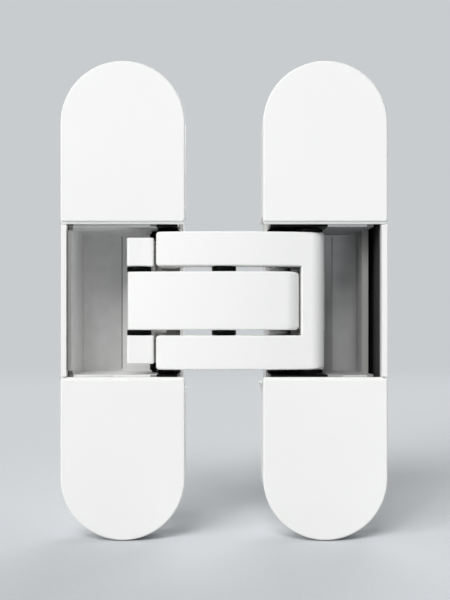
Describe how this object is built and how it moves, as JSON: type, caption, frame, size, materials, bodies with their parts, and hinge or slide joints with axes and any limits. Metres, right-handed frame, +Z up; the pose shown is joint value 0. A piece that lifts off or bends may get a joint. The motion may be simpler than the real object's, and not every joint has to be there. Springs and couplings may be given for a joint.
{
  "type": "invisible hinge",
  "caption": "Concealed door hinge laid open flat: two round-ended pocket bodies joined by a C-shaped arm and a centre arm on crossed pins.",
  "frame": {"origin": "back face of the frame half's end lugs, midway between its screw holes", "axes": "+X from the frame half to the door half, +Y into the mortise, +Z up along the pins"},
  "size_m": [0.0788, 0.0264, 0.1154],
  "materials": {
    "white_lacquer": "matt white powder coat",
    "silver_zinc": "satin silver",
    "black_bush": "moulded black",
    "bright_steel": "ground"
  },
  "bodies": {
    "frame": {"frame_housing": "white_lacquer", "frame_cover_top": "white_lacquer", "frame_cover_bottom": "white_lacquer", "frame_clamp_screws": "bright_steel"},
    "frame_carriage": {"frame_carrier": "silver_zinc", "frame_tip_pins": "bright_steel", "frame_tip_washers": "black_bush", "frame_anchor_pin": "bright_steel", "frame_anchor_spacers": "black_bush"},
    "fork": {"fork_arm": "white_lacquer", "centre_pin": "bright_steel", "centre_washers": "black_bush", "door_link_pin": "bright_steel", "door_link_washers": "black_bush"},
    "middle_arm": {"centre_arm": "white_lacquer"},
    "link_in_frame": {"frame_link": "white_lacquer", "frame_link_pin": "bright_steel", "frame_link_washers": "black_bush"},
    "link_in_door": {"door_link": "white_lacquer"},
    "door_carriage": {"door_carrier": "silver_zinc", "door_pivot_pin": "bright_steel", "door_pivot_collars": "bright_steel", "door_pivot_washers": "black_bush", "door_anchor_pins": "bright_steel", "door_anchor_spacers": "black_bush"},
    "door": {"door_housing": "white_lacquer", "door_cover_top": "white_lacquer", "door_cover_bottom": "white_lacquer", "door_clamp_screws": "bright_steel"}
  },
  "joints": [
    {"name": "height_adjust", "type": "slide", "parent": "frame", "child": "frame_carriage", "axis": [0, 0, 1], "range_m": [-0.0015, 0.0015]},
    {"name": "fold", "type": "hinge", "parent": "frame_carriage", "child": "fork", "pos_m": [0.0106, -0.002, 0], "axis": [0, 0, -1], "range_deg": [0, 104.02]},
    {"name": "cross", "type": "hinge", "parent": "fork", "child": "middle_arm", "pos_m": [0.0244, -0.008, 0], "axis": [0, 0, 1], "range_deg": [0, 28.1]},
    {"name": "door_swing", "type": "hinge", "parent": "middle_arm", "child": "door_carriage", "pos_m": [0.0382, -0.002, 0], "axis": [0, 0, -1], "range_deg": [0, 104.02]},
    {"name": "frame_link_swing", "type": "hinge", "parent": "middle_arm", "child": "link_in_frame", "pos_m": [0.0035, -0.006, 0], "axis": [0, 0, -1], "range_deg": [0, 11.2]},
    {"name": "door_link_swing", "type": "hinge", "parent": "fork", "child": "link_in_door", "pos_m": [0.0453, -0.006, 0], "axis": [0, 0, 1], "range_deg": [0, 11.2]},
    {"name": "side_adjust", "type": "slide", "parent": "door_carriage", "child": "door", "axis": [1, 0, 0], "range_m": [-0.001, 0.001]}
  ],
  "couplings": [
    {"joint": "cross", "follows": "fold", "ratio": 0.2696},
    {"joint": "door_swing", "follows": "fold", "ratio": 1},
    {"joint": "frame_link_swing", "follows": "fold", "ratio": 0.10671},
    {"joint": "door_link_swing", "follows": "fold", "ratio": 0.10671}
  ]
}
